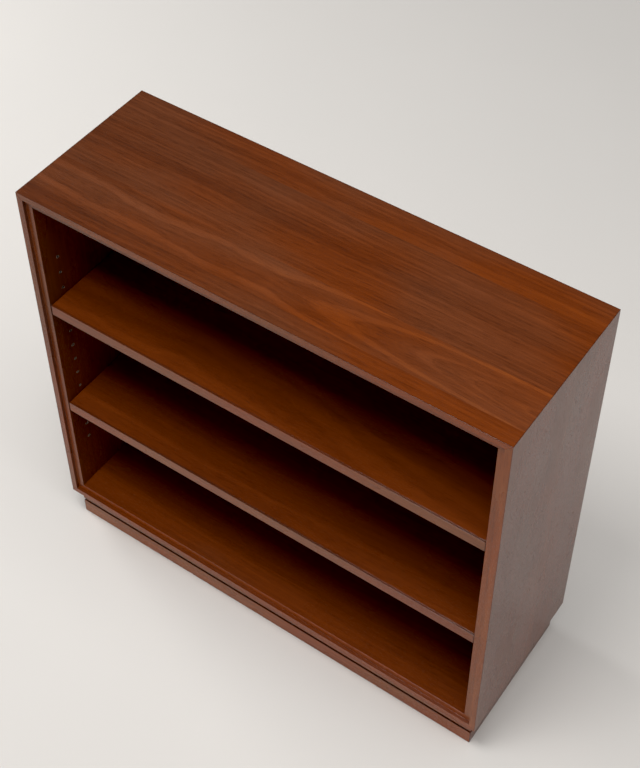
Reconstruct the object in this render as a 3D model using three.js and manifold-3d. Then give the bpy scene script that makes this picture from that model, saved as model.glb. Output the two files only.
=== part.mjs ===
// Bookcase with two adjustable shelves.
//
// A mitred walnut case whose front edge is stepped all the way round: an outer lip, then a
// strip set back from it. The case stands on a plinth that is set in on all four sides and
// has a routed reveal running round it. Each shelf rests on four metal pins, which push into
// rows of drilled holes in the two side panels and lie in grooves under the shelf's ends. The
// thin metal sleeves that line the holes aren't solids here, but the holes have room for them.
//
// Millimetres. X runs across the front, Y from the front (-) to the back (+), and Z is up.
// The origin is on the floor, under the middle of the case.

import * as THREE from 'three';
import { mergeVertices } from 'three/addons/utils/BufferGeometryUtils.js';
import Module from 'manifold-3d';

const wasm = await Module();
wasm.setup();

// ---------------------------------------------------------------- driving dimensions

// Case
const WIDTH = 914;
const DEPTH = 317;
const CASE_HEIGHT = 781;
const PANEL = 25.4;             // thickness of the top, bottom and side panels
const LIP = 12;                 // width of the outer lip of the front edge
const STEP = 6.4;               // how far the inner strip stands back from the lip
const JOINT_GAP = 0.05;         // glue line between pieces that touch

// Splines that lock the mitred corners
const SPLINE_THICKNESS = 4;
const SPLINE_WIDTH = 15;
const SPLINE_STOP = 30;         // distance from the case's front and back to the groove's ends
const SPLINE_CLEARANCE = 0.3;

// Back panel, in a rebate behind the case
const BACK_PANEL = 6.4;
const REBATE_WIDTH = 9.5;
const REBATE_DEPTH = 9.5;
const BACK_PANEL_CLEARANCE = 0.5;

// Plinth
const BASE_HEIGHT = 70;
const BASE_INSET = 12.5;        // how far the plinth is set in from the case, all round
const BASE_BOARD = 19;          // thickness of the plinth's boards
const REVEAL_HEIGHT = 6.5;
const REVEAL_DEPTH = 6.5;
const REVEAL_BOTTOM = 32.5;     // height of the reveal's lower edge above the floor
const CLEAT = 19;               // square section of the cleats that hold the case
const BLOCK_LEG = 42;           // leg of the triangular glue blocks
const BLOCK_BOTTOM = 4;
const STRETCHER_THICKNESS = 19;
const STRETCHER_BOTTOM = 10;
const BASE_GAP = 0.3;           // fit of the loose pieces inside the plinth

// Shelves
const SHELF_THICKNESS = 22.2;
const SHELF_SIDE_GAP = 1.2;
const SHELF_SETBACK = 1;        // from the inner strip to the shelf's front edge
const SHELF_BACK_GAP = 3;
const LIPPING = 3;              // solid edge strip on the shelf's front

// Rows of holes for the shelf pins
const HOLE_ROWS = 14;
const HOLE_PITCH = 36.5;
const FIRST_HOLE = 142.8;       // height of the lowest hole above the underside of the case
const HOLE_FROM_FRONT = 42;
const HOLE_FROM_BACK = 52;      // from the floor of the back panel's rebate
const HOLE_RADIUS = 3.25;
const HOLE_DEPTH = 11.5;
const LOWER_SHELF_ROW = 3;
const UPPER_SHELF_ROW = 10;

// Shelf pins, and the stopped grooves that fit over them
const PIN_RADIUS = 2.5;
const PIN_IN_HOLE = 10;
const PIN_FREE = 9;             // how far a pin stands out of the side panel
const PIN_CHAMFER = 0.4;
const PIN_GAP = 0.2;            // between a pin and the groove's ceiling, which rests on it
const GROOVE_DEPTH = 4;
const GROOVE_WIDTH = 5.8;
const GROOVE_LENGTH = 20;       // from the shelf's end, long enough to draw the pin out of its hole

// Countersunk screws
const BASE_SCREW = { headRadius: 4, headHeight: 3, shankRadius: 2, length: 38, tip: 4 };
const BACK_SCREW = { headRadius: 3, headHeight: 2.2, shankRadius: 1.6, length: 19, tip: 3 };
const SCREW_CLEARANCE = 0.3;
const BASE_SCREW_SPACING = 220;
const BACK_SCREW_SPACING_ACROSS = 305;
const BACK_SCREW_SPACING_UP = 312;

// Modelling
const ROUND_SIDES = 12;         // sides of holes, pins and screws
const CUT_PAST = 1;             // how far a cutter reaches past the surface that it enters
const MERGE_TOLERANCE = 1e-4;
const QUARTER_TURN = Math.PI / 2;

// ---------------------------------------------------------------- derived places

const FRONT = -DEPTH / 2;
const BACK = DEPTH / 2;
const CASE_BOTTOM = BASE_HEIGHT;
const CASE_TOP = BASE_HEIGHT + CASE_HEIGHT;
const CASE_MIDDLE = CASE_BOTTOM + CASE_HEIGHT / 2;
const INNER_HALF_WIDTH = WIDTH / 2 - PANEL;
const INNER_BOTTOM = CASE_BOTTOM + PANEL;
const INNER_TOP = CASE_TOP - PANEL;
const REBATE_FLOOR = BACK - REBATE_DEPTH;
const FRONT_HOLES_Y = FRONT + HOLE_FROM_FRONT;
const BACK_HOLES_Y = REBATE_FLOOR - HOLE_FROM_BACK;
const BASE_WIDTH = WIDTH - 2 * BASE_INSET;
const BASE_DEPTH = DEPTH - 2 * BASE_INSET;
const CLEAT_BOTTOM = BASE_HEIGHT - CLEAT - BASE_GAP;
const BLOCK_X = BASE_WIDTH / 2 - BASE_BOARD - BASE_GAP;
const BLOCK_Y = BASE_DEPTH / 2 - BASE_BOARD - BASE_GAP;

function holeHeight(row) {
  return CASE_BOTTOM + FIRST_HOLE + row * HOLE_PITCH;
}

// Places along a line, evenly spaced and centred on zero.
function centred(count, spacing) {
  return Array.from({ length: count }, (_, index) => (index - (count - 1) / 2) * spacing);
}

// ---------------------------------------------------------------- materials

function wood(color) {
  return new THREE.MeshStandardMaterial({ color, roughness: 0.42, metalness: 0 });
}

function metal(color) {
  return new THREE.MeshStandardMaterial({ color, roughness: 0.3, metalness: 1 });
}

const CASE_WALNUT = wood(0x713f22);
const SHELF_WALNUT = wood(0x7c4522);
const EDGE_WALNUT = wood(0x8a5a40);
const BACK_VENEER = wood(0x5f3218);
const HARDWOOD = wood(0xb08d62);
const NICKEL = metal(0xc9c4ba);
const ZINC = metal(0xb7b9bd);

// ---------------------------------------------------------------- solids

function solidOf(geometry) {
  const bare = geometry.clone();
  bare.deleteAttribute('normal');
  bare.deleteAttribute('uv');
  const merged = mergeVertices(bare, MERGE_TOLERANCE);
  const mesh = new wasm.Mesh({
    numProp: 3,
    vertProperties: new Float32Array(merged.attributes.position.array),
    triVerts: new Uint32Array(merged.index.array),
  });
  return new wasm.Manifold(mesh);
}

function geometryOf(solid) {
  const mesh = solid.getMesh();
  const indexed = new THREE.BufferGeometry();
  indexed.setAttribute('position', new THREE.BufferAttribute(mesh.vertProperties, 3));
  indexed.setIndex(new THREE.BufferAttribute(mesh.triVerts, 1));
  const faceted = indexed.toNonIndexed();
  faceted.computeVertexNormals();
  return faceted;
}

function subtract(geometry, ...tools) {
  let solid = solidOf(geometry);
  for (const tool of tools) {
    solid = solid.subtract(solidOf(tool));
  }
  return geometryOf(solid);
}

// A box from its lowest to its highest corner.
function block(low, high) {
  const size = high.map((value, axis) => value - low[axis]);
  const middle = high.map((value, axis) => (value + low[axis]) / 2);
  return new THREE.BoxGeometry(...size).translate(...middle);
}

// A box centred on the origin.
function centredBlock(half) {
  return block(half.map((value) => -value), half);
}

// A prism from z = 0 up to z = length, with its outline in the XY plane.
function prism(points, length) {
  const shape = new THREE.Shape(points.map(([x, y]) => new THREE.Vector2(x, y)));
  return new THREE.ExtrudeGeometry(shape, { depth: length, bevelEnabled: false });
}

// A prism along Y, with its outline in the XZ plane.
function prismAlongY(points, front, back) {
  return prism(points, back - front).rotateX(QUARTER_TURN).translate(0, back, 0);
}

function cylinderAlongZ(radius, from, to) {
  const cylinder = new THREE.CylinderGeometry(radius, radius, to - from, ROUND_SIDES);
  return cylinder.rotateX(QUARTER_TURN).translate(0, 0, (from + to) / 2);
}

// A round solid about the Y axis, from [radius, height] points.
function turned(profile) {
  const points = profile.map(([radius, height]) => new THREE.Vector2(radius, height));
  return new THREE.LatheGeometry(points, ROUND_SIDES);
}

// ---------------------------------------------------------------- scene graph helpers

const bookcase = new THREE.Group();

function addMesh(name, geometry, material, position = [0, 0, 0], rotation = [0, 0, 0]) {
  const mesh = new THREE.Mesh(geometry, material);
  mesh.name = name;
  mesh.position.set(...position);
  mesh.rotation.set(...rotation);
  bookcase.add(mesh);
  return mesh;
}

// Cuts a tool out of placed pieces. The tool stands where toolPlace stands.
function cutFrom(pieces, toolGeometry, toolPlace) {
  toolPlace.updateWorldMatrix(true, false);
  for (const piece of pieces) {
    piece.updateWorldMatrix(true, false);
    const toPiece = piece.matrixWorld.clone().invert().multiply(toolPlace.matrixWorld);
    piece.geometry = subtract(piece.geometry, toolGeometry.clone().applyMatrix4(toPiece));
  }
}

// ---------------------------------------------------------------- case

// One panel of the case, lying flat with its outer face up at z = 0. Both ends are mitred,
// the lower front edge is stepped and the lower back edge has the back panel's rebate.
function casePanel(length) {
  const end = length / 2 - JOINT_GAP;
  const trapezoid = [[-end, 0], [-end + PANEL, -PANEL], [end - PANEL, -PANEL], [end, 0]];
  const board = prismAlongY(trapezoid, FRONT, BACK);
  const under = -PANEL - CUT_PAST;
  const step = block([-length, FRONT - CUT_PAST, under], [length, FRONT + STEP, -LIP]);
  const rebate = block(
    [-length, REBATE_FLOOR, under],
    [length, BACK + CUT_PAST, REBATE_WIDTH - PANEL],
  );
  return subtract(board, step, rebate);
}

// A side panel has a row of blind holes near its front edge and another near its back edge.
// upwards is +1 where the panel's own X axis points up once it stands in place, or -1.
function sidePanel(upwards) {
  const holes = [];
  for (const y of [FRONT_HOLES_Y, BACK_HOLES_Y]) {
    for (let row = 0; row < HOLE_ROWS; row += 1) {
      const along = upwards * (holeHeight(row) - CASE_MIDDLE);
      const hole = cylinderAlongZ(HOLE_RADIUS, -PANEL - CUT_PAST, -PANEL + HOLE_DEPTH);
      holes.push(hole.translate(along, y, 0));
    }
  }
  return subtract(casePanel(CASE_HEIGHT), ...holes);
}

const caseTop = addMesh('case_top', casePanel(WIDTH), CASE_WALNUT, [0, 0, CASE_TOP]);
const caseBottom = addMesh(
  'case_bottom', casePanel(WIDTH), CASE_WALNUT, [0, 0, CASE_BOTTOM], [0, Math.PI, 0],
);
const sideLeft = addMesh(
  'side_left', sidePanel(1), CASE_WALNUT, [-WIDTH / 2, 0, CASE_MIDDLE], [0, -QUARTER_TURN, 0],
);
const sideRight = addMesh(
  'side_right', sidePanel(-1), CASE_WALNUT, [WIDTH / 2, 0, CASE_MIDDLE], [0, QUARTER_TURN, 0],
);

// A spline lies across each mitre, in a stopped groove that is cut into both panels.
function addSpline(name, x, z, turn, panels) {
  const half = [SPLINE_WIDTH / 2, DEPTH / 2 - SPLINE_STOP, SPLINE_THICKNESS / 2];
  const groove = centredBlock(half.map((value) => value + SPLINE_CLEARANCE));
  const spline = addMesh(name, centredBlock(half), HARDWOOD, [x, 0, z], [0, turn, 0]);
  cutFrom(panels, groove, spline);
}

const MITRE_X = WIDTH / 2 - PANEL / 2;
const MITRE_TOP = CASE_TOP - PANEL / 2;
const MITRE_BOTTOM = CASE_BOTTOM + PANEL / 2;
const MITRE_TURN = Math.PI / 4;
addSpline('spline_top_left', -MITRE_X, MITRE_TOP, -MITRE_TURN, [caseTop, sideLeft]);
addSpline('spline_top_right', MITRE_X, MITRE_TOP, MITRE_TURN, [caseTop, sideRight]);
addSpline('spline_bottom_left', -MITRE_X, MITRE_BOTTOM, MITRE_TURN, [caseBottom, sideLeft]);
addSpline('spline_bottom_right', MITRE_X, MITRE_BOTTOM, -MITRE_TURN, [caseBottom, sideRight]);

// ---------------------------------------------------------------- screws

// A screw points along its own +Y, with the flat of its head at y = 0.
function screwGeometry({ headRadius, headHeight, shankRadius, length, tip }) {
  return turned([
    [0, 0],
    [headRadius, 0],
    [shankRadius, headHeight],
    [shankRadius, length - tip],
    [0, length],
  ]);
}

// The hole is wider and deeper than its screw by the clearance, and is open above the head.
function screwHole({ headRadius, headHeight, shankRadius, length, tip }) {
  const mouth = headRadius + SCREW_CLEARANCE;
  const bore = shankRadius + SCREW_CLEARANCE;
  return turned([
    [0, -CUT_PAST],
    [mouth, -CUT_PAST],
    [mouth, 0],
    [bore, headHeight],
    [bore, length - tip],
    [0, length + SCREW_CLEARANCE],
  ]);
}

// The screw is turned into place, and its hole is cut in the pieces that it passes through.
function addScrew(name, size, position, rotation, pieces) {
  const screw = addMesh(name, screwGeometry(size), ZINC, position, rotation);
  cutFrom(pieces, screwHole(size), screw);
}

// ---------------------------------------------------------------- back panel

const backHalfWidth = INNER_HALF_WIDTH + REBATE_WIDTH - BACK_PANEL_CLEARANCE;
const backLow = INNER_BOTTOM - REBATE_WIDTH + BACK_PANEL_CLEARANCE;
const backHigh = INNER_TOP + REBATE_WIDTH - BACK_PANEL_CLEARANCE;
const backFace = REBATE_FLOOR + JOINT_GAP + BACK_PANEL;
const backSheet = block(
  [-backHalfWidth, REBATE_FLOOR + JOINT_GAP, backLow],
  [backHalfWidth, backFace, backHigh],
);
const backPanel = addMesh('back_panel', backSheet, BACK_VENEER);

// Screws run round the back panel's edge, halfway across the rebate.
const LEDGE = REBATE_WIDTH / 2;
const POINTING_FORWARD = [0, 0, Math.PI];

function addBackScrew(name, x, z, casePiece) {
  addScrew(name, BACK_SCREW, [x, backFace, z], POINTING_FORWARD, [backPanel, casePiece]);
}

centred(3, BACK_SCREW_SPACING_ACROSS).forEach((x, index) => {
  addBackScrew(`back_screw_top_${index + 1}`, x, INNER_TOP + LEDGE, caseTop);
  addBackScrew(`back_screw_bottom_${index + 1}`, x, INNER_BOTTOM - LEDGE, caseBottom);
});
centred(2, BACK_SCREW_SPACING_UP).forEach((offset, index) => {
  const z = CASE_MIDDLE + offset;
  addBackScrew(`back_screw_left_${index + 1}`, -INNER_HALF_WIDTH - LEDGE, z, sideLeft);
  addBackScrew(`back_screw_right_${index + 1}`, INNER_HALF_WIDTH + LEDGE, z, sideRight);
});

// ---------------------------------------------------------------- plinth

// One board of the plinth, with its outer face at y = 0 looking along -Y. Its ends are mitred
// in plan, and the reveal is routed along its outer face.
function plinthBoard(length) {
  const end = length / 2 - JOINT_GAP;
  const inner = end - BASE_BOARD;
  const plan = [[-end, 0], [end, 0], [inner, BASE_BOARD], [-inner, BASE_BOARD]];
  const reveal = block(
    [-length, -CUT_PAST, REVEAL_BOTTOM],
    [length, REVEAL_DEPTH, REVEAL_BOTTOM + REVEAL_HEIGHT],
  );
  return subtract(prism(plan, BASE_HEIGHT - JOINT_GAP), reveal);
}

function addPlinthBoard(name, length, position, turn) {
  addMesh(name, plinthBoard(length), EDGE_WALNUT, position, [0, 0, turn]);
}

addPlinthBoard('base_front', BASE_WIDTH, [0, -BASE_DEPTH / 2, 0], 0);
addPlinthBoard('base_back', BASE_WIDTH, [0, BASE_DEPTH / 2, 0], Math.PI);
addPlinthBoard('base_left', BASE_DEPTH, [-BASE_WIDTH / 2, 0, 0], -QUARTER_TURN);
addPlinthBoard('base_right', BASE_DEPTH, [BASE_WIDTH / 2, 0, 0], QUARTER_TURN);

// Triangular glue blocks stiffen the four corners. A block's right angle is at the origin.
function addCornerBlock(name, x, y, turn) {
  const plan = [[-BLOCK_LEG, 0], [0, -BLOCK_LEG], [0, 0]];
  const shape = prism(plan, CLEAT_BOTTOM - BASE_GAP - BLOCK_BOTTOM);
  addMesh(name, shape, HARDWOOD, [x, y, BLOCK_BOTTOM], [0, 0, turn]);
}

addCornerBlock('corner_block_back_right', BLOCK_X, BLOCK_Y, 0);
addCornerBlock('corner_block_back_left', -BLOCK_X, BLOCK_Y, QUARTER_TURN);
addCornerBlock('corner_block_front_left', -BLOCK_X, -BLOCK_Y, Math.PI);
addCornerBlock('corner_block_front_right', BLOCK_X, -BLOCK_Y, -QUARTER_TURN);

// A stretcher holds the long boards apart at the middle.
const stretcher = block(
  [-STRETCHER_THICKNESS / 2, -BLOCK_Y, STRETCHER_BOTTOM],
  [STRETCHER_THICKNESS / 2, BLOCK_Y, CLEAT_BOTTOM - BASE_GAP],
);
addMesh('base_stretcher', stretcher, HARDWOOD);

// Two cleats run along the long boards, and screws go up through them into the case.
const POINTING_UP = [QUARTER_TURN, 0, 0];

function addCleat(side, y) {
  const strip = block([-BLOCK_X, -CLEAT / 2, 0], [BLOCK_X, CLEAT / 2, CLEAT]);
  const cleat = addMesh(`cleat_${side}`, strip, HARDWOOD, [0, y, CLEAT_BOTTOM]);
  centred(4, BASE_SCREW_SPACING).forEach((x, index) => {
    const name = `base_screw_${side}_${index + 1}`;
    addScrew(name, BASE_SCREW, [x, y, CLEAT_BOTTOM], POINTING_UP, [cleat, caseBottom]);
  });
}

addCleat('front', -BLOCK_Y + CLEAT / 2);
addCleat('back', BLOCK_Y - CLEAT / 2);

// ---------------------------------------------------------------- shelves and pins

// A pin lies along X and pushes into its hole towards -X, with its free end towards +X.
function shelfPin() {
  const flat = PIN_RADIUS - PIN_CHAMFER;
  const profile = turned([
    [0, -PIN_IN_HOLE],
    [flat, -PIN_IN_HOLE],
    [PIN_RADIUS, -PIN_IN_HOLE + PIN_CHAMFER],
    [PIN_RADIUS, PIN_FREE - PIN_CHAMFER],
    [flat, PIN_FREE],
    [0, PIN_FREE],
  ]);
  return profile.rotateZ(-QUARTER_TURN);
}

// The board stands on z = 0, with a groove under each end for each pin.
function shelfBoard(end, front, back) {
  const grooves = [];
  for (const y of [FRONT_HOLES_Y, BACK_HOLES_Y]) {
    for (const side of [-1, 1]) {
      const middle = side * (end - (GROOVE_LENGTH - CUT_PAST) / 2);
      const length = GROOVE_LENGTH + CUT_PAST;
      grooves.push(block(
        [middle - length / 2, y - GROOVE_WIDTH / 2, -CUT_PAST],
        [middle + length / 2, y + GROOVE_WIDTH / 2, GROOVE_DEPTH],
      ));
    }
  }
  return subtract(block([-end, front, 0], [end, back, SHELF_THICKNESS]), ...grooves);
}

function addShelf(name, row) {
  const underside = holeHeight(row) + PIN_RADIUS + PIN_GAP - GROOVE_DEPTH;
  const end = INNER_HALF_WIDTH - SHELF_SIDE_GAP;
  const front = FRONT + STEP + SHELF_SETBACK;
  const joint = front + LIPPING;
  const board = shelfBoard(end, joint + JOINT_GAP, REBATE_FLOOR - SHELF_BACK_GAP);
  const edge = block([-end, front, 0], [end, joint, SHELF_THICKNESS]);
  addMesh(name, board, SHELF_WALNUT, [0, 0, underside]);
  addMesh(`${name}_lipping`, edge, EDGE_WALNUT, [0, 0, underside]);

  for (const [place, y] of [['front', FRONT_HOLES_Y], ['back', BACK_HOLES_Y]]) {
    const left = [-INNER_HALF_WIDTH, y, holeHeight(row)];
    const right = [INNER_HALF_WIDTH, y, holeHeight(row)];
    addMesh(`${name}_pin_${place}_left`, shelfPin(), NICKEL, left);
    addMesh(`${name}_pin_${place}_right`, shelfPin(), NICKEL, right, [0, 0, Math.PI]);
  }
}

addShelf('lower_shelf', LOWER_SHELF_ROW);
addShelf('upper_shelf', UPPER_SHELF_ROW);

export default bookcase;
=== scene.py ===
import math
from collections import namedtuple

import bmesh
import bpy
from mathutils import Matrix, Quaternion, Vector


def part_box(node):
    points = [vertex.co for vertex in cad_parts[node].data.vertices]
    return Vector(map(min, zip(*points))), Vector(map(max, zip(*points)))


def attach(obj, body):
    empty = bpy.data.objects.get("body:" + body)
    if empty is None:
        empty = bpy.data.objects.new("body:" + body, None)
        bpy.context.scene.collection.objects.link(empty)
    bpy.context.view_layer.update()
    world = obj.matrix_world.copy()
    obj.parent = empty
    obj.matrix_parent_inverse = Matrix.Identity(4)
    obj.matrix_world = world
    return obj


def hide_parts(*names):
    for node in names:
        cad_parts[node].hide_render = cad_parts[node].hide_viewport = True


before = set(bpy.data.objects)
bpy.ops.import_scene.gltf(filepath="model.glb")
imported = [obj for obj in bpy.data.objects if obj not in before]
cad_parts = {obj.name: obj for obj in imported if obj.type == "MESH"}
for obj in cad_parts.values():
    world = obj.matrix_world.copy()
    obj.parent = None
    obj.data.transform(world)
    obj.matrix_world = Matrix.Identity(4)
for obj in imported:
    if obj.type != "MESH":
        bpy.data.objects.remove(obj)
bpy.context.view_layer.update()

MM = 0.001
MIDDLE = 0.5        # what a noise texture gives on average

# Camera, in the CAD frame.
IMAGE_LONG_SIDE = 768
SENSOR = 36.0
FOCAL_IN_IMAGE_UNITS = 1539.0
CAMERA_PLACE = Vector((0.9961, -1.3816, 2.4937))
CAMERA_AZIMUTH = math.radians(35.09)
CAMERA_ELEVATION = math.radians(45.90)
CAMERA_ROLL = math.radians(-0.29)
CAMERA_SHIFT_Y = -0.109

# Edges of the wood, rounded by hand sanding.
ARRIS = 0.45 * MM
ARRIS_SEGMENTS = 2
ARRIS_ANGLE = math.radians(35)
WELD_DISTANCE = 0.01 * MM
FLAT_ANGLE = math.radians(0.5)

# Holes, and the sleeves that line them.
INNER_FACE = 431.6 * MM             # inner face of each side, from the middle of the case
HOLE_ROWS = 14
HOLE_PITCH = 36.5 * MM
LOWER_SHELF_ROW = 3
SLEEVE_OUTER = 3.1 * MM
SLEEVE_BORE = 2.62 * MM
SLEEVE_FLANGE = 3.22 * MM
SLEEVE_PROUD = 0.3 * MM
SLEEVE_DEPTH = 10.5 * MM
SLEEVE_ROUNDING = 0.15 * MM
FLANGE_BACK = 0.04 * MM             # gap between a flange and the panel's face

# Shelf pins. The waist is a shallow groove round the middle, with sloping ends.
PIN_CHAMFER = 0.5 * MM
WAIST_DEPTH = 0.12 * MM
WAIST_START = (-0.9 * MM, -0.5 * MM)
WAIST_END = (0.1 * MM, 0.5 * MM)

# Screws. The HEAD_ values and the recess's size are fractions of the head's radius or height, and
# the taper is how wide the recess still is at its bottom.
BASE_SCREW = {
    "head_radius": 3.9 * MM,
    "head_height": 3.0 * MM,
    "shank_radius": 1.9 * MM,
    "tip": 4 * MM,
}
BACK_SCREW = {
    "head_radius": 2.9 * MM,
    "head_height": 2.2 * MM,
    "shank_radius": 1.5 * MM,
    "tip": 3 * MM,
}
HEAD_STEPS = 6
HEAD_FLAT = 0.45
HEAD_EDGE = 0.35
RECESS_REACH = 0.52
RECESS_WIDTH = 0.13
RECESS_DEPTH = 0.6
RECESS_TAPER = 0.55
CUT_PAST = 1 * MM
SCREW_TWIST = math.radians(37)      # each screw stops this much further round than the last one

TURNED_SIDES = 32
SMOOTH_ANGLE = math.radians(32)

# Oiled surface of the walnut.
WOOD_IOR = 1.46
WOOD_SPECULAR = 0.43
WOOD_ROUGHNESS = 0.27
OIL_COUNTS = (6.0, 14.0)
OIL_DETAIL = 3.0
OIL_UNEVENNESS = 0.12
PORE_DULLNESS = 0.14
STREAK_RELIEF = 0.25
WOOD_BUMP = 0.35
WOOD_RELIEF = 0.06 * MM

# Colours of the walnut, from dark to light, and what they are multiplied by in places, some of that
# painted light and painted shade.
WALNUT_TONES = (
    (0.00, (0.036, 0.0080, 0.0012)),
    (0.30, (0.072, 0.0168, 0.0028)),
    (0.52, (0.108, 0.0265, 0.0046)),
    (0.75, (0.146, 0.0370, 0.0068)),
    (1.00, (0.200, 0.0530, 0.0085)),
)
# Painted light: faces that look forward are made lighter, a painted highlight for the light that
# falls on them.
FRONT_PAINTED_LIGHT = (1.95, 1.9, 1.0, 1.0)
FRONT_PAINTED_LIGHT_LEVELS = (0.5, 0.9)           # how squarely a face looks forward, from no painted light to full
WARM = (1.07, 0.82, 0.50, 1.0)
COOL = (0.97, 1.20, 2.70, 1.0)
HUE_STRENGTH = 0.75
# Painted sheen: how much faster the fade changes the hue than the lightness, so a board is cooler
# and greyer at its low end.
PAINTED_SHEEN_HUE = 6
# Painted shade: the wood is made darker along each board's arrises, along its edges and in the
# joints between boards.
ARRIS_PAINTED_SHADE = (0.60, 0.55, 0.55, 1.0)
ARRIS_PAINTED_SHADE_FULL = 0.2 * MM          # full painted shade up to this far from an arris
ARRIS_PAINTED_SHADE_REACH = 1.7 * MM         # and none from here on

# Growth rings.
RING_COUNT = 150.0                  # per metre from the log's heart
RING_LEVELS = (0.30, 0.70)
RING_LINE = 0.045
RING_SEED_STEP = 7.1
RING_STRENGTH = 0.12
RISE_COUNT = 2.6                    # swells of the log, per metre along it
RISE_DETAIL = 4.0
RISE_HEIGHT = 0.026

# Layers of the walnut's figure: counts per metre along and across the grain, detail of the noise,
# and the levels between which the layer goes from nothing to full strength.
BANDS = (1.3, 22.0, 2.0, 0.28, 0.72)
FLECKS = (38.0, 620.0, 2.0, 0.50, 0.72)
PORES = (110.0, 1500.0, 1.0, 0.58, 0.72)
HUES = (3.0, 9.0, 2.0, 0.32, 0.68)
STREAK_COUNTS = (11.0, 230.0)
STREAK_DETAIL = 3.0
STREAK_ROUGHNESS = 0.6
WANDER_COUNTS = (2.2, 5.0)
WANDER_DETAIL = 1.5
WANDER_REACH = 0.022

# How much each layer lightens or darkens the wood.
BASE_SHADE = 0.28
BAND_WEIGHT = 0.16
STREAK_WEIGHT = 0.34
LINE_WEIGHT = 0.45                  # of the rings' strength
FLECK_WEIGHT = 0.19
PORE_WEIGHT = 0.12

# How far apart two boards, or two strips of one board, lie in the noise along the grain.
SEED_STEP = 1.37
STRIP_STEP = 2.3

# Axes of the wood: along the grain, across it on the wide face, and through the board.
ALONG_X_FLAT = (0, 1, 2)
ALONG_X_UPRIGHT = (0, 2, 1)
ALONG_Z_SIDE = (2, 1, 0)
ALONG_Y_UPRIGHT = (1, 2, 0)
ALONG_Z_BLOCK = (2, 0, 1)

# One board of walnut. heart and behind say where the log's heart lies across the board and behind
# it, and slope is the slant at which half of the board meets it. The fade is painted light: how
# much lighter and redder the wood gets in a metre along the grain, a painted shade and a cooler
# painted sheen towards the board's low end.
Board = namedtuple(
    "Board",
    "node axes heart behind slope lightness redness fade strips",
    defaults=(0.0, ()),
)

# Strips glued behind the top's first one: start, and the changes there in lightness, in the
# heart's place and in the rings' strength.
TOP_STRIPS = (
    (-0.1265, 0.11, 0.365, 0.10),
    (-0.0455, -0.11, 0.335, -0.08),
    (0.1005, 0.09, 0.30, 0.0),
)

BOARDS = (
    Board("case_top", ALONG_X_FLAT, -0.45, -0.80, -0.08, -0.04, -0.12, 0.20, TOP_STRIPS),
    Board("case_bottom", ALONG_X_FLAT, 0.30, 0.06, 0.04, 0.07, 0.7),
    Board("side_left", ALONG_Z_SIDE, 0.05, 0.55, 0.05, -0.10, 0.2),
    Board("side_right", ALONG_Z_SIDE, -0.02, -0.38, 0.05, 0.05, 0.2),
    Board("lower_shelf", ALONG_X_FLAT, 0.22, 0.05, 0.05, 0.05, 1.0),
    Board("upper_shelf", ALONG_X_FLAT, -0.24, 0.06, 0.04, 0.05, 1.0),
    Board("lower_shelf_lipping", ALONG_X_UPRIGHT, 0.70, 0.30, 0.02, 0.0, 0.0),
    Board("upper_shelf_lipping", ALONG_X_UPRIGHT, 0.20, 0.30, 0.02, 0.0, 0.0),
    Board("base_front", ALONG_X_UPRIGHT, 0.16, 0.26, 0.03, 0.11, 0.0),
    Board("base_back", ALONG_X_UPRIGHT, 0.12, 0.20, 0.03, 0.0, 0.0),
    Board("base_left", ALONG_Y_UPRIGHT, 0.15, 0.50, 0.05, 0.0, 0.0),
    Board("base_right", ALONG_Y_UPRIGHT, 0.15, -0.38, 0.05, 0.02, 0.0),
    Board("back_panel", ALONG_X_UPRIGHT, 0.42, 0.02, 0.05, 0.0, 0.3),
)

# Pale hardwood of the hidden pieces.
HARDWOOD_TONES = (
    (0.00, (0.26, 0.150, 0.070)),
    (0.50, (0.40, 0.255, 0.130)),
    (1.00, (0.52, 0.360, 0.205)),
)
HARDWOOD_WIDE = (3.0, 60.0)         # counts per metre along and across the grain
HARDWOOD_WIDE_DETAIL = 3.0
HARDWOOD_FINE = (20.0, 700.0)
HARDWOOD_WIDE_WEIGHT = 0.6
HARDWOOD_FINE_WEIGHT = 0.4
HARDWOOD_LEVELS = (0.25, 0.75)
HARDWOOD_ROUGHNESS = 0.50
HARDWOOD_UNEVENNESS = 0.15
HARDWOOD_BUMP = 0.3
HARDWOOD_RELIEF = 0.08 * MM
HARDWOOD_IOR = 1.45

# Material, axes of its wood, and the nodes it goes on.
HIDDEN_WOOD = (
    ("hardwood_long", ALONG_X_UPRIGHT, ("cleat_front", "cleat_back")),
    ("hardwood_stretcher", ALONG_Y_UPRIGHT, ("base_stretcher",)),
    (
        "hardwood_blocks",
        ALONG_Z_BLOCK,
        (
            "corner_block_front_left",
            "corner_block_front_right",
            "corner_block_back_left",
            "corner_block_back_right",
        ),
    ),
    (
        "hardwood_splines",
        ALONG_Y_UPRIGHT,
        (
            "spline_top_left",
            "spline_top_right",
            "spline_bottom_left",
            "spline_bottom_right",
        ),
    ),
)

# Plated metals: name, colour, roughness and seed. The rest holds for both.
NICKEL = ("nickel_plate", (0.60, 0.52, 0.45), 0.34, 1.0)
ZINC = ("zinc_plate", (0.60, 0.61, 0.62), 0.38, 2.0)
PATCH_COUNT = 400.0
PATCH_DETAIL = 3.0
PATCH_LEVELS = (0.35, 0.75)
PATCH_DARKNESS = 0.72
PATCH_DULLNESS = 0.22
PATCH_OFFSET = 0.08
MARK_COUNT = 2600.0
MARK_BUMP = 0.2
MARK_RELIEF = 0.02 * MM

# Studio floor.
FLOOR_HALF = 14.0
FLOOR_CELLS = 24
FLOOR_DARK = (0.690, 0.672, 0.650, 1.0)
FLOOR_LIGHT = (0.715, 0.697, 0.675, 1.0)
FLOOR_MOTTLE = 2.5
FLOOR_MOTTLE_DETAIL = 4.0
FLOOR_GRIT = 900.0
FLOOR_ROUGHNESS = 0.75
FLOOR_BUMP = 0.08
FLOOR_RELIEF = 0.2 * MM
FLOOR_IOR = 1.4

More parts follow.
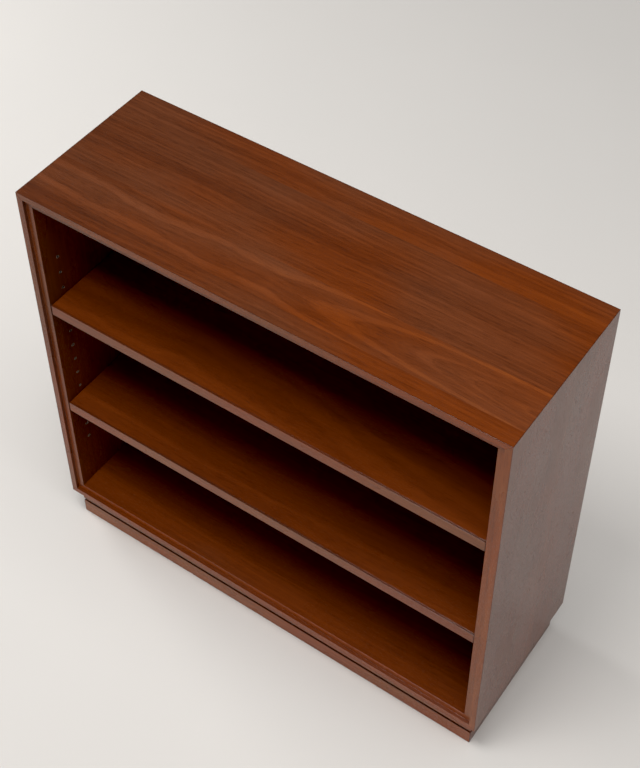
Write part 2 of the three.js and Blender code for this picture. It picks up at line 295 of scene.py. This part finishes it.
# Studio lights. Softboxes: name, place, target, width and height, watts.
LIGHT_COLOUR = (1.0, 0.985, 0.965)
SOFTBOXES = (
    ("left_softbox", (-3.1, 0.3, 2.0), (-0.9, 0.9, 0), (1.2, 1.2), 44),
    ("front_softbox", (-0.1, -0.95, 3.3), (0, 0, 0.3), (1.0, 0.9), 51),
    ("right_softbox", (2.5, -0.3, 2.4), (0.9, -0.1, 0.1), (1.4, 1.4), 13),
)
OVERHEAD_TOWARD = Vector((0.24, -0.14, 1.0))
OVERHEAD_DISTANCE = 3
OVERHEAD_STRENGTH = 1.25
OVERHEAD_SPREAD = math.radians(46)

# Studio room: height on the unit sphere, and colour there.
HORIZON = (0.05, (0.48, 0.475, 0.465, 1.0))
CEILING = (0.40, (0.05, 0.05, 0.05, 1.0))

BLACK_LEVEL = (0.002, 0.003, 0.0025)


class Graph:
    """Short calls that add the nodes of one material."""

    def __init__(self, name):
        self.material = bpy.data.materials.new(name)
        self.material.use_nodes = True
        self.tree = self.material.node_tree
        self.tree.nodes.clear()

    def link(self, value, socket):
        if hasattr(value, "is_linked"):
            self.tree.links.new(value, socket)
        else:
            socket.default_value = value

    def node(self, kind, **settings):
        made = self.tree.nodes.new(kind)
        for key, value in settings.items():
            setattr(made, key, value)
        return made

    def math(self, operation, first, second=0.0, clamp=False):
        made = self.node("ShaderNodeMath", operation=operation, use_clamp=clamp)
        self.link(first, made.inputs[0])
        self.link(second, made.inputs[1])
        return made.outputs[0]

    def plus(self, first, second, clamp=False):
        return self.math("ADD", first, second, clamp)

    def minus(self, first, second, clamp=False):
        return self.math("SUBTRACT", first, second, clamp)

    def times(self, first, second):
        return self.math("MULTIPLY", first, second)

    def distance(self, value, centre):
        return self.math("ABSOLUTE", self.minus(value, centre))

    def combine(self, x, y, z):
        made = self.node("ShaderNodeCombineXYZ")
        self.link(x, made.inputs[0])
        self.link(y, made.inputs[1])
        self.link(z, made.inputs[2])
        return made.outputs[0]

    def noise(self, vector, scale=1.0, detail=2.0, roughness=0.5):
        made = self.node("ShaderNodeTexNoise")
        self.link(vector, made.inputs["Vector"])
        made.inputs["Scale"].default_value = scale
        made.inputs["Detail"].default_value = detail
        made.inputs["Roughness"].default_value = roughness
        return made.outputs["Fac"]

    def noise_1d(self, value, detail=2.0):
        made = self.node("ShaderNodeTexNoise", noise_dimensions="1D")
        self.link(value, made.inputs["W"])
        made.inputs["Scale"].default_value = 1.0
        made.inputs["Detail"].default_value = detail
        return made.outputs["Fac"]

    def spread(self, value, low, high):
        """0 below low, 1 above high, and smooth between."""
        made = self.node("ShaderNodeMapRange", interpolation_type="SMOOTHSTEP")
        self.link(value, made.inputs["Value"])
        made.inputs["From Min"].default_value = low
        made.inputs["From Max"].default_value = high
        return made.outputs["Result"]

    def ramp(self, value, stops):
        made = self.node("ShaderNodeValToRGB")
        self.link(value, made.inputs[0])
        elements = made.color_ramp.elements
        while len(elements) > 1:
            elements.remove(elements[-1])
        elements[0].position = stops[0][0]
        elements[0].color = (*stops[0][1], 1.0)
        for place, colour in stops[1:]:
            elements.new(place).color = (*colour, 1.0)
        return made.outputs[0]

    def mix(self, factor, first, second, blend="MIX"):
        made = self.node("ShaderNodeMix", data_type="RGBA", blend_type=blend)
        self.link(factor, made.inputs["Factor"])
        self.link(first, made.inputs[6])
        self.link(second, made.inputs[7])
        return made.outputs[2]

    def tint(self, factor, colour, multiplier):
        return self.mix(factor, colour, multiplier, blend="MULTIPLY")

    def place(self):
        """Position in the object's own frame, in metres, as three values. For a CAD node that is
        the CAD frame."""
        coordinates = self.node("ShaderNodeTexCoord")
        parts = self.node("ShaderNodeSeparateXYZ")
        self.tree.links.new(coordinates.outputs["Object"], parts.inputs[0])
        return list(parts.outputs)

    def painted_front_light_mask(self):
        """Mask of the painted light on the fronts: 1 on faces that look to the front of the case, 0
        on the others.
        """
        coordinates = self.node("ShaderNodeTexCoord")
        parts = self.node("ShaderNodeSeparateXYZ")
        self.tree.links.new(coordinates.outputs["Normal"], parts.inputs[0])
        return self.spread(self.times(parts.outputs["Y"], -1.0), *FRONT_PAINTED_LIGHT_LEVELS)

    def bump(self, height, strength, distance):
        made = self.node("ShaderNodeBump")
        made.inputs["Strength"].default_value = strength
        made.inputs["Distance"].default_value = distance
        self.link(height, made.inputs["Height"])
        return made.outputs["Normal"]

    def surface(self, colour, roughness, normal, **constants):
        """The finished material. An underscore in a constant's name is a space in the socket's."""
        shader = self.node("ShaderNodeBsdfPrincipled")
        self.link(colour, shader.inputs["Base Color"])
        self.link(roughness, shader.inputs["Roughness"])
        self.link(normal, shader.inputs["Normal"])
        for name, value in constants.items():
            shader.inputs[name.replace("_", " ")].default_value = value
        output = self.node("ShaderNodeOutputMaterial")
        self.tree.links.new(shader.outputs[0], output.inputs["Surface"])
        return self.material


def stretched(g, place, along, across):
    """Noise coordinates drawn out along the grain: counts per metre along it and across it."""
    u, v, w = place
    return g.combine(g.times(u, along), g.times(v, across), g.times(w, across))


def layer(g, place, settings):
    """One layer of the figure, from 0 to 1."""
    along, across, detail, low, high = settings
    return g.spread(g.noise(stretched(g, place, along, across), detail=detail), low, high)


def ring_field(g, place, seed, heart, behind, slope):
    """Growth rings, from the distance to the log's heart, which half of the board meets at a slant.
    Gives broad rings from 0 to 1, and thin lines that are 1 along a ring's edge."""
    along, across, through = place
    swell = g.noise(g.combine(g.times(along, RISE_COUNT), seed, 0.0), detail=RISE_DETAIL)
    rise = g.times(g.minus(swell, MIDDLE), RISE_HEIGHT)
    slant = g.times(g.math("MAXIMUM", along, 0.0), slope)
    depth = g.plus(g.plus(g.plus(through, behind), slant), rise)
    sideways = g.minus(across, heart)
    squares = g.plus(g.times(sideways, sideways), g.times(depth, depth))
    radius = g.math("SQRT", squares)
    field = g.noise_1d(g.plus(g.times(radius, RING_COUNT), seed * RING_SEED_STEP))
    lines = g.minus(1.0, g.spread(g.distance(field, MIDDLE), 0.0, RING_LINE))
    return g.spread(field, *RING_LEVELS), lines


def arris_painted_shade_mask(g, xyz, low, high):
    """Painted shade mask: 1 along the arrises of the board whose corners are low and high, 0 away
    from them.
    """
    inward = []
    for value, start, end in zip(xyz, low, high):
        off_middle = g.distance(value, (start + end) / 2)
        inward.append(g.minus((end - start) / 2, off_middle))
    # A point near an arris is near two faces, so the second smallest of the three depths is small.
    a, b, c = inward
    smaller = g.math("MINIMUM", a, b)
    larger = g.math("MAXIMUM", a, b)
    second = g.math("MAXIMUM", smaller, g.math("MINIMUM", larger, c))
    return g.minus(1.0, g.spread(second, ARRIS_PAINTED_SHADE_FULL, ARRIS_PAINTED_SHADE_REACH))


def walnut_shade(g, tone, figure, rings, lines, bands, streaks, flecks, pores):
    """How light the wood is, from 0 to 1."""
    shade = g.plus(g.times(rings, figure), g.times(bands, BAND_WEIGHT))
    shade = g.plus(shade, g.times(streaks, STREAK_WEIGHT))
    shade = g.plus(shade, g.plus(tone, BASE_SHADE))
    shade = g.minus(shade, g.times(lines, g.times(figure, LINE_WEIGHT)))
    shade = g.minus(shade, g.times(flecks, FLECK_WEIGHT))
    return g.minus(shade, g.times(pores, PORE_WEIGHT), clamp=True)


def oiled_roughness(g, place, pores):
    """Oil lies unevenly, and pores stay dull."""
    oil = g.noise(stretched(g, place, *OIL_COUNTS), detail=OIL_DETAIL)
    rough = g.plus(g.times(oil, OIL_UNEVENNESS), WOOD_ROUGHNESS - OIL_UNEVENNESS / 2)
    return g.plus(rough, g.times(pores, PORE_DULLNESS))


def walnut_colour(g, board, xyz, place, shade):
    """Colour from lightness, warmer and cooler in places, with painted light on fronts and painted
    shade at arrises.
    """
    along = xyz[board.axes[0]]
    # Painted sheen: the hue is cooler and greyer towards the board's low end.
    hue_shift_and_painted_sheen = g.plus(g.times(along, board.fade * PAINTED_SHEEN_HUE), board.redness)
    hue = g.plus(layer(g, place, HUES), hue_shift_and_painted_sheen, clamp=True)
    colour = g.tint(HUE_STRENGTH, g.ramp(shade, WALNUT_TONES), g.mix(hue, COOL, WARM))
    # Painted light: the faces that look forward are made lighter.
    colour = g.tint(g.painted_front_light_mask(), colour, FRONT_PAINTED_LIGHT)
    # Painted shade along the arrises.
    return g.tint(arris_painted_shade_mask(g, xyz, *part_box(board.node)), colour, ARRIS_PAINTED_SHADE)


def walnut(board, seed):
    """Oiled walnut for one board."""
    g = Graph("walnut_" + board.node)
    xyz = g.place()
    along, across, through = (xyz[i] for i in board.axes)
    # Painted shade: the fade makes the board darker towards its low end.
    tone = g.plus(g.times(along, board.fade), board.lightness)
    run = g.plus(along, seed * SEED_STEP)
    heart = board.heart
    figure = RING_STRENGTH
    for start, lighter, shift, stronger in board.strips:
        passed = g.math("GREATER_THAN", across, start)
        tone = g.plus(g.times(passed, lighter), tone)
        heart = g.plus(g.times(passed, shift), heart)
        figure = g.plus(g.times(passed, stronger), figure)
        run = g.plus(g.times(passed, STRIP_STEP + shift), run)

    # The fibres wander slowly to either side.
    straight = (run, across, through)
    wander = g.noise(stretched(g, straight, *WANDER_COUNTS), detail=WANDER_DETAIL)
    moved = g.plus(across, g.times(g.minus(wander, MIDDLE), WANDER_REACH))
    place = (run, moved, through)

    bent = (along, moved, through)
    rings, lines = ring_field(g, bent, seed, heart, board.behind, board.slope)
    bands = layer(g, place, BANDS)
    flecks = layer(g, place, FLECKS)
    pores = layer(g, place, PORES)
    streak_at = stretched(g, place, *STREAK_COUNTS)
    streaks = g.noise(streak_at, detail=STREAK_DETAIL, roughness=STREAK_ROUGHNESS)
    shade = walnut_shade(g, tone, figure, rings, lines, bands, streaks, flecks, pores)

    colour = walnut_colour(g, board, xyz, place, shade)
    rough = oiled_roughness(g, straight, pores)
    height = g.minus(g.times(streaks, STREAK_RELIEF), pores)
    normal = g.bump(height, WOOD_BUMP, WOOD_RELIEF)
    return g.surface(colour, rough, normal, IOR=WOOD_IOR, Specular_IOR_Level=WOOD_SPECULAR)


def hardwood(name, axes, seed):
    """Plain pale hardwood for the hidden blocks and cleats."""
    g = Graph(name)
    xyz = g.place()
    along, across, through = (xyz[i] for i in axes)
    place = (g.plus(along, seed), across, through)
    wide = g.noise(stretched(g, place, *HARDWOOD_WIDE), detail=HARDWOOD_WIDE_DETAIL)
    fine = g.noise(stretched(g, place, *HARDWOOD_FINE))
    shade = g.plus(g.times(wide, HARDWOOD_WIDE_WEIGHT), g.times(fine, HARDWOOD_FINE_WEIGHT))
    colour = g.ramp(g.spread(shade, *HARDWOOD_LEVELS), HARDWOOD_TONES)
    rough = g.plus(g.times(fine, HARDWOOD_UNEVENNESS), HARDWOOD_ROUGHNESS)
    normal = g.bump(fine, HARDWOOD_BUMP, HARDWOOD_RELIEF)
    return g.surface(colour, rough, normal, IOR=HARDWOOD_IOR)


def metal(name, colour, roughness, seed):
    """Plated metal with fine turning marks and dull patches."""
    g = Graph(name)
    x, y, z = g.place()
    place = g.combine(g.plus(x, seed), y, z)
    patch = g.noise(place, scale=PATCH_COUNT, detail=PATCH_DETAIL)
    dull = tuple(PATCH_DARKNESS * c for c in colour)
    shade = g.mix(g.spread(patch, *PATCH_LEVELS), (*colour, 1.0), (*dull, 1.0))
    rough = g.plus(g.times(patch, PATCH_DULLNESS), roughness - PATCH_OFFSET)
    marks = g.noise(place, scale=MARK_COUNT, detail=1.0)
    return g.surface(shade, rough, g.bump(marks, MARK_BUMP, MARK_RELIEF), Metallic=1.0)


def floor_material():
    """Pale painted studio floor."""
    g = Graph("studio_floor")
    place = g.combine(*g.place())
    mottle = g.noise(place, scale=FLOOR_MOTTLE, detail=FLOOR_MOTTLE_DETAIL)
    colour = g.mix(mottle, FLOOR_DARK, FLOOR_LIGHT)
    grit = g.noise(place, scale=FLOOR_GRIT)
    normal = g.bump(grit, FLOOR_BUMP, FLOOR_RELIEF)
    return g.surface(colour, FLOOR_ROUGHNESS, normal, IOR=FLOOR_IOR)


def soften(node):
    """Joins the imported mesh's split corners and rounds its arrises."""
    weld = node.modifiers.new("weld", "WELD")
    weld.merge_threshold = WELD_DISTANCE
    flat = node.modifiers.new("flat", "DECIMATE")
    flat.decimate_type = "DISSOLVE"
    flat.angle_limit = FLAT_ANGLE
    bevel = node.modifiers.new("arris", "BEVEL")
    bevel.width = ARRIS
    bevel.segments = ARRIS_SEGMENTS
    bevel.limit_method = "ANGLE"
    bevel.angle_limit = ARRIS_ANGLE
    bevel.use_clamp_overlap = True


def finish_node(name, material):
    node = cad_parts[name]
    node.data.materials.clear()
    node.data.materials.append(material)
    soften(node)


def finish_boards():
    for seed, board in enumerate(BOARDS, start=1):
        finish_node(board.node, walnut(board, float(seed)))


def finish_hidden_wood():
    for seed, (name, axes, nodes) in enumerate(HIDDEN_WOOD):
        material = hardwood(name, axes, float(seed))
        for node in nodes:
            finish_node(node, material)


def middle(node):
    low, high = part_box(node)
    return (low + high) / 2


def mesh_from(made, name):
    """Mesh of a bmesh, which is freed."""
    mesh = bpy.data.meshes.new(name)
    made.to_mesh(mesh)
    made.free()
    return mesh


def shown(name, data):
    """Object that is linked to the scene."""
    made = bpy.data.objects.new(name, data)
    bpy.context.scene.collection.objects.link(made)
    return made


def put(name, mesh, material, matrix, body):
    """Adds a piece at matrix that rides on a body."""
    piece = shown(name, mesh)
    if not mesh.materials:
        mesh.materials.append(material)
    piece.matrix_world = matrix
    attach(piece, body)
    return piece


def turned_mesh(name, profile, closed=False):
    """Mesh of a (radius, height) profile turned about Z. An open profile ends on the axis."""
    made = bmesh.new()
    rings = []
    for radius, height in profile:
        if radius == 0:
            rings.append([made.verts.new((0, 0, height))])
            continue
        ring = []
        for i in range(TURNED_SIDES):
            turn = 2 * math.pi * i / TURNED_SIDES
            corner = (radius * math.cos(turn), radius * math.sin(turn), height)
            ring.append(made.verts.new(corner))
        rings.append(ring)
    pairs = list(zip(rings, rings[1:]))
    if closed:
        pairs.append((rings[-1], rings[0]))
    for lower, upper in pairs:
        for i in range(TURNED_SIDES):
            j = (i + 1) % TURNED_SIDES
            corners = [lower[i % len(lower)], lower[j % len(lower)]]
            corners += [upper[j % len(upper)], upper[i % len(upper)]]
            made.faces.new(list(dict.fromkeys(corners)))
    bmesh.ops.recalc_face_normals(made, faces=made.faces)
    return mesh_from(made, name)


def smooth_by_angle(mesh):
    mesh.polygons.foreach_set("use_smooth", [True] * len(mesh.polygons))
    mesh.set_sharp_from_angle(angle=SMOOTH_ANGLE)


def sleeve_profile():
    """Closed outline: a tube in the hole with a thin rounded flange on the panel's face."""
    rim = SLEEVE_PROUD - SLEEVE_ROUNDING
    return [
        (SLEEVE_OUTER, -SLEEVE_DEPTH),
        (SLEEVE_OUTER, FLANGE_BACK),
        (SLEEVE_FLANGE, FLANGE_BACK),
        (SLEEVE_FLANGE, rim),
        (SLEEVE_FLANGE - SLEEVE_ROUNDING, SLEEVE_PROUD),
        (SLEEVE_BORE + SLEEVE_ROUNDING, SLEEVE_PROUD),
        (SLEEVE_BORE, rim),
        (SLEEVE_BORE, -SLEEVE_DEPTH),
    ]


def sleeve_column(name, face_x, facing, y, heights, material):
    """One column of sleeves as one piece, all with their flanges on the inner face of a side."""
    single = turned_mesh(name + "_one", sleeve_profile(), closed=True)
    turn = Matrix.Rotation(facing * math.pi / 2, 4, "Y")
    made = bmesh.new()
    for height in heights:
        copy = single.copy()
        copy.transform(Matrix.Translation((face_x, y, height)) @ turn)
        made.from_mesh(copy)
        bpy.data.meshes.remove(copy)
    mesh = mesh_from(made, name)
    bpy.data.meshes.remove(single)
    smooth_by_angle(mesh)
    put(name, mesh, material, Matrix.Identity(4), "case")


def add_sleeves(material):
    lower_row = middle("lower_shelf_pin_front_left").z
    first = lower_row - LOWER_SHELF_ROW * HOLE_PITCH
    heights = [first + row * HOLE_PITCH for row in range(HOLE_ROWS)]
    for side, facing in (("left", 1), ("right", -1)):
        for end in ("front", "back"):
            name = f"hole_sleeves_{end}_{side}"
            y = middle(f"lower_shelf_pin_{end}_{side}").y
            sleeve_column(name, INNER_FACE * -facing, facing, y, heights, material)


def pin_profile(radius, half):
    """Pin with chamfered ends and a waist, half to each side of its middle."""
    waist = radius - WAIST_DEPTH
    return [
        (0, -half),
        (radius - PIN_CHAMFER, -half),
        (radius, -half + PIN_CHAMFER),
        (radius, WAIST_START[0]),
        (waist, WAIST_START[1]),
        (waist, WAIST_END[0]),
        (radius, WAIST_END[1]),
        (radius, half - PIN_CHAMFER),
        (radius - PIN_CHAMFER, half),
        (0, half),
    ]


def add_pin(name, material):
    """Round pin, in place of the CAD's coarser one."""
    low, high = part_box(name)
    profile = pin_profile((high.z - low.z) / 2, (high.x - low.x) / 2)
    mesh = turned_mesh(name + "_turned", profile)
    smooth_by_angle(mesh)
    matrix = Matrix.Translation(middle(name)) @ Matrix.Rotation(math.pi / 2, 4, "Y")
    piece = put(name + "_turned", mesh, material, matrix, name)
    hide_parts(name)


def add_pins(material):
    for shelf in ("lower", "upper"):
        for end in ("front", "back"):
            for side in ("left", "right"):
                add_pin(f"{shelf}_shelf_pin_{end}_{side}", material)


def cross_cutter(reach, width, top, depth):
    """Cross-shaped bar that narrows downwards, for a screw's recess."""
    outline = []
    quarter = [(reach, width), (width, width), (width, reach)]
    for _ in range(4):
        outline += quarter
        quarter = [(-y, x) for x, y in quarter]
    made = bmesh.new()
    upper = [made.verts.new((x, y, top)) for x, y in outline]
    narrow = [(x * RECESS_TAPER, y * RECESS_TAPER) for x, y in outline]
    lower = [made.verts.new((x, y, top - depth)) for x, y in narrow]
    made.faces.new(upper)
    made.faces.new(list(reversed(lower)))
    for i in range(len(outline)):
        j = (i + 1) % len(outline)
        made.faces.new((upper[j], upper[i], lower[i], lower[j]))
    bmesh.ops.recalc_face_normals(made, faces=made.faces)
    return mesh_from(made, "cutter")


def screw_profile(length, head_radius, head_height, shank_radius, tip):
    """Pan-head screw with its head upwards, centred on its own length."""
    top = length / 2
    under = top - head_height
    profile = [(0, top)]
    for i in range(HEAD_STEPS + 1):
        turn = math.pi / 2 * i / HEAD_STEPS
        radius = head_radius * (HEAD_FLAT + (1 - HEAD_FLAT) * math.sin(turn))
        rise = head_height * (HEAD_EDGE + (1 - HEAD_EDGE) * math.cos(turn))
        profile.append((radius, under + rise))
    profile += [
        (head_radius, under),
        (shank_radius, under),
        (shank_radius, -top + tip),
        (0, -top),
    ]
    return profile


def screw_mesh(name, length, sizes):
    """Screw with a cross recess cut into its head."""
    head_radius = sizes["head_radius"]
    head_height = sizes["head_height"]
    whole = turned_mesh(name, screw_profile(length, **sizes))
    recess = cross_cutter(
        head_radius * RECESS_REACH,
        head_radius * RECESS_WIDTH,
        length / 2 + CUT_PAST,
        head_height * RECESS_DEPTH + CUT_PAST,
    )
    body = shown("screw_work", whole)
    cutter = shown("cutter_work", recess)
    cut = body.modifiers.new("recess", "BOOLEAN")
    cut.operation = "DIFFERENCE"
    cut.solver = "EXACT"
    cut.object = cutter
    graph = bpy.context.evaluated_depsgraph_get()
    mesh = bpy.data.meshes.new_from_object(body.evaluated_get(graph))
    mesh.name = name + "_cut"
    for item in (body, cutter):
        bpy.data.objects.remove(item)
    for item in (whole, recess):
        bpy.data.meshes.remove(item)
    smooth_by_angle(mesh)
    return mesh


def add_screws(prefix, axis, turn, sizes, material):
    """Replaces each CAD screw whose name starts with prefix by a detailed one in the same place."""
    names = sorted(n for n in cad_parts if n.startswith(prefix))
    low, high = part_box(names[0])
    mesh = screw_mesh(prefix + "shape", (high - low)[axis], sizes)
    for index, name in enumerate(names, start=1):
        twist = Matrix.Rotation(SCREW_TWIST * index, 4, "Z")
        matrix = Matrix.Translation(middle(name)) @ turn @ twist
        piece = put(name + "_detailed", mesh, material, matrix, "case")
        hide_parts(name)


def add_metal_pieces():
    nickel = metal(*NICKEL)
    zinc = metal(*ZINC)
    head_down = Matrix.Rotation(math.pi, 4, "X")
    head_back = Matrix.Rotation(-math.pi / 2, 4, "X")
    add_sleeves(nickel)
    add_pins(nickel)
    add_screws("base_screw_", 2, head_down, BASE_SCREW, zinc)
    add_screws("back_screw_", 1, head_back, BACK_SCREW, zinc)


def add_floor():
    made = bmesh.new()
    bmesh.ops.create_grid(
        made, x_segments=FLOOR_CELLS, y_segments=FLOOR_CELLS, size=FLOOR_HALF
    )
    mesh = mesh_from(made, "floor")
    floor = shown("floor", mesh)
    mesh.materials.append(floor_material())


def aim(item, direction):
    """Turns a lamp or camera so that it looks along direction."""
    item.rotation_mode = "QUATERNION"
    item.rotation_quaternion = direction.to_track_quat("-Z", "Y")


def add_softbox(name, place, target, size, watts):
    light = bpy.data.lights.new(name, "AREA")
    light.shape = "RECTANGLE"
    light.size = size[0]
    light.size_y = size[1]
    light.energy = watts
    light.color = LIGHT_COLOUR
    lamp = shown(name, light)
    lamp.location = place
    aim(lamp, Vector(target) - Vector(place))


def add_overhead_light():
    """Broad even light from above, as from a lit studio ceiling."""
    light = bpy.data.lights.new("overhead", "SUN")
    light.energy = OVERHEAD_STRENGTH
    light.angle = OVERHEAD_SPREAD
    light.color = LIGHT_COLOUR
    lamp = shown("overhead", light)
    lamp.location = OVERHEAD_TOWARD * OVERHEAD_DISTANCE
    aim(lamp, -OVERHEAD_TOWARD)


def add_lights():
    for softbox in SOFTBOXES:
        add_softbox(*softbox)
    add_overhead_light()


def add_world():
    """Dim studio room, paler towards the horizon."""
    world = bpy.data.worlds.new("studio")
    world.use_nodes = True
    tree = world.node_tree
    tree.nodes.clear()
    coordinates = tree.nodes.new("ShaderNodeTexCoord")
    parts = tree.nodes.new("ShaderNodeSeparateXYZ")
    ramp = tree.nodes.new("ShaderNodeValToRGB")
    background = tree.nodes.new("ShaderNodeBackground")
    output = tree.nodes.new("ShaderNodeOutputWorld")
    tree.links.new(coordinates.outputs["Generated"], parts.inputs[0])
    tree.links.new(parts.outputs["Z"], ramp.inputs[0])
    tree.links.new(ramp.outputs[0], background.inputs["Color"])
    tree.links.new(background.outputs[0], output.inputs["Surface"])
    for element, (height, colour) in zip(ramp.color_ramp.elements, (HORIZON, CEILING)):
        element.position = height
        element.color = colour
    background.inputs["Strength"].default_value = 1.0
    bpy.context.scene.world = world


def add_camera():
    level = math.cos(CAMERA_ELEVATION)
    back = Vector(
        (
            math.sin(CAMERA_AZIMUTH) * level,
            -math.cos(CAMERA_AZIMUTH) * level,
            math.sin(CAMERA_ELEVATION),
        )
    )
    data = bpy.data.cameras.new("camera")
    data.sensor_width = SENSOR
    data.lens = FOCAL_IN_IMAGE_UNITS / IMAGE_LONG_SIDE * SENSOR
    data.shift_y = CAMERA_SHIFT_Y
    camera = shown("camera", data)
    camera.location = CAMERA_PLACE
    aim(camera, -back)
    camera.rotation_quaternion @= Quaternion((0, 0, 1), CAMERA_ROLL)
    bpy.context.scene.camera = camera


def set_tones():
    """Plain view transform, with the deepest shadows let go to black."""
    settings = bpy.context.scene.view_settings
    settings.view_transform = "Standard"
    settings.use_curve_mapping = True
    settings.curve_mapping.black_level = BLACK_LEVEL
    settings.curve_mapping.update()


add_camera()
finish_boards()
finish_hidden_wood()
add_metal_pieces()
add_floor()
add_world()
add_lights()
set_tones()
